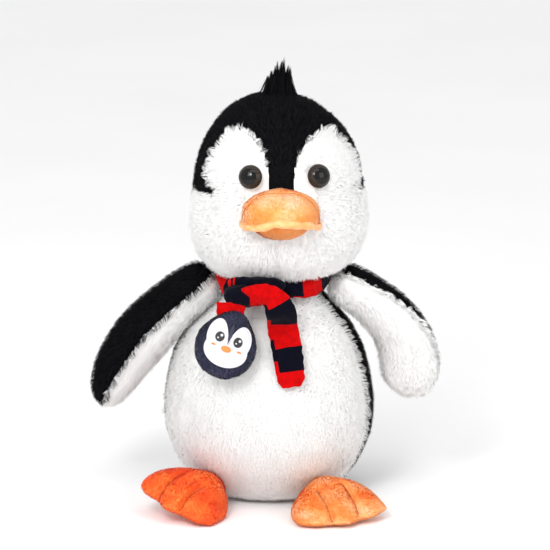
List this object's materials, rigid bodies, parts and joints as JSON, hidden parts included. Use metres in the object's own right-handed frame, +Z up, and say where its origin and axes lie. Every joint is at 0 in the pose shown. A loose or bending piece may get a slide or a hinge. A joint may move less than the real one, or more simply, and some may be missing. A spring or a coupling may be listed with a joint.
{
  "type": "plush penguin",
  "caption": "Stuffed penguin toy standing on a flat base, with movable head, wings and feet, an orange beak, a checked scarf and a small hanging charm.",
  "frame": {"origin": "on the floor, under the middle of the whole toy", "axes": "+Z up; the penguin faces -Y; +X is the penguin's own left"},
  "size_m": [0.2662, 0.1878, 0.333],
  "materials": {
    "white_plush": "short dense pile",
    "black_plush": "short dense pile",
    "stuffing": "loose polyester fibre",
    "orange_velboa": "very short satin pile",
    "beak_velboa": "very short satin pile",
    "scarf_fleece": "brushed woven check",
    "navy_velboa": "very short satin pile",
    "eye_plastic": "glossy",
    "washer_plastic": "matte"
  },
  "bodies": {
    "torso": {"belly_panel": "white_plush", "back_panel": "black_plush", "base_panel": "black_plush", "body_stuffing": "stuffing", "scarf_loop": "scarf_fleece", "scarf_knot": "scarf_fleece"},
    "neck": {"neck_stuffing": "stuffing"},
    "head": {"cheek_panel_right": "white_plush", "cheek_panel_left": "white_plush", "eye_patch_right": "white_plush", "eye_patch_left": "white_plush", "crown_panel": "black_plush", "head_back_panel": "black_plush", "head_stuffing": "stuffing", "tuft": "black_plush", "upper_bill": "beak_velboa", "upper_bill_stuffing": "stuffing", "lower_bill": "beak_velboa", "lower_bill_stuffing": "stuffing", "eye_left": "eye_plastic", "eye_washer_left": "washer_plastic", "eye_right": "eye_plastic", "eye_washer_right": "washer_plastic"},
    "wing_left": {"wing_outer_left": "black_plush", "wing_inner_left": "white_plush", "wing_stuffing_left": "stuffing"},
    "wing_right": {"wing_outer_right": "black_plush", "wing_inner_right": "white_plush", "wing_stuffing_right": "stuffing"},
    "foot_left": {"foot_upper_left": "orange_velboa", "foot_sole_left": "orange_velboa", "foot_stuffing_left": "stuffing"},
    "foot_right": {"foot_upper_right": "orange_velboa", "foot_sole_right": "orange_velboa", "foot_stuffing_right": "stuffing"},
    "scarf_tail": {"scarf_tail": "scarf_fleece"},
    "charm": {"charm_front": "navy_velboa", "charm_back": "navy_velboa", "charm_face_patch": "white_plush", "charm_stuffing": "stuffing", "charm_tab": "scarf_fleece"}
  },
  "joints": [
    {"name": "head_nod", "type": "hinge", "parent": "torso", "child": "neck", "pos_m": [0.0061, 0.0243, 0.1627], "axis": [-1, 0, 0], "range_deg": [0, 8], "stiffness_Nm_per_rad": 0.6},
    {"name": "head_turn", "type": "hinge", "parent": "neck", "child": "head", "pos_m": [0.0061, 0.0243, 0.1627], "axis": [0, 0, 1], "range_deg": [-25, 25], "stiffness_Nm_per_rad": 0.15},
    {"name": "wing_left_lift", "type": "hinge", "parent": "torso", "child": "wing_left", "pos_m": [0.06, 0.0203, 0.178], "axis": [0, -1, 0], "range_deg": [0, 35], "stiffness_Nm_per_rad": 0.12},
    {"name": "wing_right_lift", "type": "hinge", "parent": "torso", "child": "wing_right", "pos_m": [-0.0474, 0.0233, 0.176], "axis": [0, 1, 0], "range_deg": [0, 40], "stiffness_Nm_per_rad": 0.12},
    {"name": "foot_left_flex", "type": "hinge", "parent": "torso", "child": "foot_left", "pos_m": [0.0416, -0.0287, 0.026], "axis": [-0.9397, -0.3419, 0], "range_deg": [0, 20], "stiffness_Nm_per_rad": 0.15},
    {"name": "foot_right_flex", "type": "hinge", "parent": "torso", "child": "foot_right", "pos_m": [-0.0474, -0.0277, 0.026], "axis": [-0.8089, 0.5879, 0], "range_deg": [0, 20], "stiffness_Nm_per_rad": 0.15},
    {"name": "scarf_tail_lift", "type": "hinge", "parent": "torso", "child": "scarf_tail", "pos_m": [0.0086, -0.0307, 0.153], "axis": [-1, 0, 0], "range_deg": [0, 60]},
    {"name": "charm_lift", "type": "hinge", "parent": "torso", "child": "charm", "pos_m": [-0.0244, -0.0367, 0.1555], "axis": [-1, 0, 0], "range_deg": [0, 24]}
  ]
}
